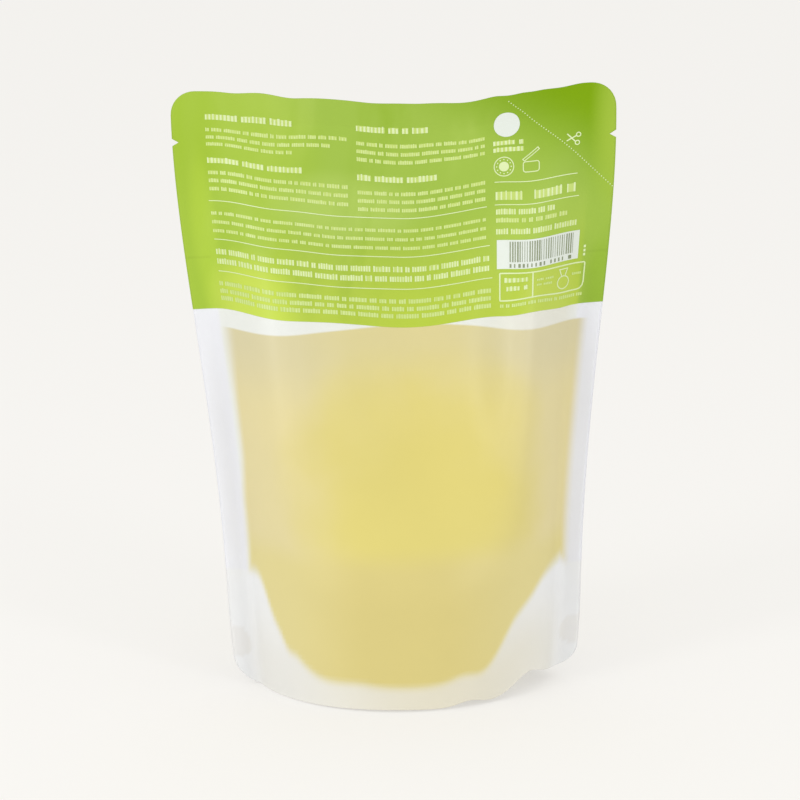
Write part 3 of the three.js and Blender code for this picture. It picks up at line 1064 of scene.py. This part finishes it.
def discShape(centre, radius, sides=32):
    turns = np.arange(sides) * 2 * np.pi / sides
    ring = np.column_stack([np.cos(turns), np.sin(turns)])
    rings = max(1, math.ceil(radius / printStep))
    circles = [ring * (k + 1) / rings for k in range(rings)]
    flat = np.concatenate([[(0, 0)]] + circles) * radius + np.asarray(centre)
    faces = []
    for i in range(sides):
        j = (i + 1) % sides
        faces.append((0, 1 + i, 1 + j))
        for k in range(rings - 1):
            inner, outer = 1 + k * sides, 1 + (k + 1) * sides
            faces.append((inner + i, outer + i, outer + j, inner + j))
    return flat, faces


def ringPath(centre, acrossRadius, upRadius, sides=28):
    turns = np.arange(sides) * 2 * np.pi / sides
    return np.column_stack([centre[0] + acrossRadius * np.cos(turns), centre[1] + upRadius * np.sin(turns)])


# The four corners are rounded from the upper right one, anticlockwise.
def roundedPath(left, bottom, right, top, radii):
    path = []
    for start, (u, v) in enumerate(((right, top), (left, top), (left, bottom), (right, bottom))):
        radius = radii[start]
        centreU = u - math.copysign(radius, u - (left + right) / 2)
        centreV = v - math.copysign(radius, v - (bottom + top) / 2)
        for step in range(4):
            turn = (start + step / 3) * math.pi / 2
            path.append((centreU + radius * math.cos(turn), centreV + radius * math.sin(turn)))
    return path


def bentPrint(name, shapes, ink):
    points, faces, count = [], [], 0
    for flat, shapeFaces in shapes:
        points.append(flat)
        faces += [tuple(i + count for i in face) for face in shapeFaces]
        count += len(flat)
    flat = np.concatenate(points)
    outerFace = pouch["plyOffset"] + pouch["filmThickness"] / 2
    made = objectFrom(name, filmPoints(flat[:, 0], flat[:, 1], -1, outerFace + flat[:, 2]), faces, ink)
    made.data.shade_flat()
    return made


# A row broken into words of a few blocks each
def wordsIn(left, right, foot, pitch, dice):
    words = []
    while right - left > 1.5 * pitch:
        end = min(left + pitch * dice.integers(2, 10), right)
        if right - end < 2 * pitch:
            end = right
        words.append(((left, foot), (end - pitch, foot)))
        left = end + pitch * 0.7
    return words


# Lines and discs of the print, each a flat shape
def printMarks():
    marks = []

    def addLine(width, *path, closed=False):
        marks.append(lineShape(path, width, closed))

    # Rules between the rows
    for left, right, v in (
        (-64.2, 30.9, 169.7),
        (-63.7, 31.8, 156.5),
        (-63.6, 32.6, 145.5),
        (33.6, 62.1, 177.7),
        (33.6, 63.0, 170.0),
    ):
        addLine(0.3, (left, v), (right, v))
    # Badge with a ring of dots
    badgeAcross, badgeUp = 36.8, 183.0
    marks.append(lineShape(ringPath((badgeAcross, badgeUp), 3.3, 3.3), 0.35, True))
    marks.append(discShape((badgeAcross, badgeUp), 1.7))
    for i in range(12):
        turn = i * math.pi / 6
        place = (badgeAcross + 2.45 * math.cos(turn), badgeUp + 2.45 * math.sin(turn))
        marks.append(discShape(place, 0.26, 8))
    # Open jar
    marks.append(lineShape(roundedPath(43.3, 180.9, 48.7, 184.4, (0.8, 0.8, 0.8, 0.8)), 0.35, True))
    addLine(0.32, (43.1, 185.2), (48.3, 189.0), (48.8, 188.3), (43.7, 184.7), closed=True)
    # Sorting box with a bag in its right half
    marks.append(lineShape(roundedPath(35.2, 137.5, 67.2, 146.8, (0.5, 0.3, 0.3, 2.4)), 0.5, True))
    addLine(0.5, (46.8, 137.7), (46.8, 146.6))
    marks.append(lineShape(ringPath((58.7, 141.0), 2.3, 2.2), 0.4, True))
    addLine(0.4, (57.1, 145.6), (58.0, 143.2))
    addLine(0.4, (60.3, 145.6), (59.4, 143.2))
    addLine(0.4, (56.9, 145.6), (60.5, 145.6))
    # Three short strokes beside the bars
    for start in (149.0, 150.4, 151.8):
        addLine(0.8, (66.6, start), (66.6, start + 0.9))
    # Scissors
    addLine(0.42, (58.3, 191.4), (61.0, 188.6))
    addLine(0.42, (58.1, 189.0), (61.4, 190.4))
    for centre in ((61.8, 188.1), (62.2, 190.8)):
        marks.append(lineShape(ringPath(centre, 0.75, 0.7, 14), 0.35, True))
    return marks


def makePrint():
    inks = {"haze": hazeInk, "pale": paleInk, "soft": softInk, "panel": panelInk, "dark": darkInk}
    shapes = {kind: [] for kind in inks}

    def addRows(kind, ends, seed, look):
        flat, faces = blocksAlong(ends, inks[kind], seed, look)
        flat[:, 2] += inkLift["darkRows" if kind == "dark" else "rows"]
        shapes[kind].append((flat, faces))

    dice = np.random.default_rng(7)
    for seed, group in enumerate(printRows.values()):
        words = [word for row in group["rows"] for word in wordsIn(*row, group["pitch"], dice)]
        addRows(group["ink"], words, seed, group)
        if group["ink"] == "dark":
            continue
        for (left, foot), (right, _) in words:
            strip = plateShape(left, foot, right + group["width"], foot + 0.9 * group["height"])
            shapes["haze"].append(raised(*strip, *inkLift["haze"]))
    addRows("pale", [(cutLine["from"], cutLine["to"])], 20, cutLine)
    shapes["pale"] += [raised(*mark, *inkLift["marks"]) for mark in printMarks()]
    roundBadge = discShape((38.0, 197.8), 4.4)
    barPanel = plateShape(34.2, 148.3, 64.2, 158.1)
    shapes["panel"] += [raised(*mark, *inkLift["marks"]) for mark in (roundBadge, barPanel)]
    addRows("dark", [(barRow["from"], barRow["to"])], 31, barRow)
    return [bentPrint(f"{kind}Print", shapes[kind], inks[kind]) for kind in shapes]


backPanel = makePanel("backPanel", -1)
frontPanel = makePanel("frontPanel", 1)
baseGusset = makeGusset()
liquidSoap = makeSoap()
print("film and soap made")
printPieces = makePrint()
print("print made")

for piece, node, slotName in (
    (backPanel, "back_panel", "printed_film"),
    (frontPanel, "front_panel", "printed_film"),
    (baseGusset, "base_gusset", "frosted_film"),
    (liquidSoap, "liquid_soap", "liquid_soap"),
    *((piece, None, "printed_film") for piece in printPieces),
):
    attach(piece, "root")
    if node:
        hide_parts(node)


# Camera, floor and light

view = {
    "distance": 1.072,
    "elevation": 13.2,
    "aimHeight": 0.1005,
    "lens": 140.3,
    "sensor": 36,
    "reach": 20,
    "roll": 1.28,
}


def makeCamera():
    camera = placed("camera", bpy.data.cameras.new("camera"))
    camera.data.lens = view["lens"]
    camera.data.sensor_width = view["sensor"]
    camera.data.clip_end = view["reach"]
    angle = math.radians(view["elevation"])
    aim = Vector((0, 0, view["aimHeight"]))
    away = Vector((0, -math.cos(angle), math.sin(angle)))
    place = Matrix.Translation(aim + away * view["distance"])
    turn = away.to_track_quat("Z", "Y").to_matrix().to_4x4()
    camera.matrix_world = place @ turn @ Matrix.Rotation(-math.radians(view["roll"]), 4, "Z")
    bpy.context.scene.camera = camera


def makeFloor():
    mesh = bpy.data.meshes.new("floor")
    half = 6
    corners = [(-half, -half, 0), (half, -half, 0), (half, half, 0), (-half, half, 0)]
    mesh.from_pydata(corners, [], [(0, 1, 2, 3)])
    material, _, shader = newMaterial("paleFloor")
    setInputs(shader, {
        "Base Color": colour(159, 158, 155),
        "Emission Color": colour(242, 240, 237),
        "Emission Strength": 0.62,
        "Roughness": 0.9,
        "Specular IOR Level": 0.0,
    })
    mesh.materials.append(material)
    placed("floor", mesh)


def makeLight(name, place, aim, size, power):
    light = bpy.data.lights.new(name, "AREA")
    light.shape = "RECTANGLE"
    light.size, light.size_y = size
    light.energy = power
    made = placed(name, light)
    made.location = place
    made.rotation_euler = (Vector(aim) - Vector(place)).to_track_quat("-Z", "Y").to_euler()


def makeStudio():
    world = bpy.data.worlds.new("studio")
    bpy.context.scene.world = world
    world.use_nodes = True
    back = world.node_tree.nodes["Background"]
    back.inputs["Color"].default_value = (1, 1, 1, 1)
    back.inputs["Strength"].default_value = 1.0
    makeLight("leftStrip", (-0.95, -0.75, 0.4), (0, 0, 0.1), (0.3, 0.9), 5)
    makeLight("rightStrip", (0.95, -1.05, 0.4), (0, 0, 0.1), (0.3, 0.9), 5)
    bpy.context.scene.view_settings.view_transform = "Standard"


makeCamera()
makeFloor()
makeStudio()
print("camera, floor and light made")
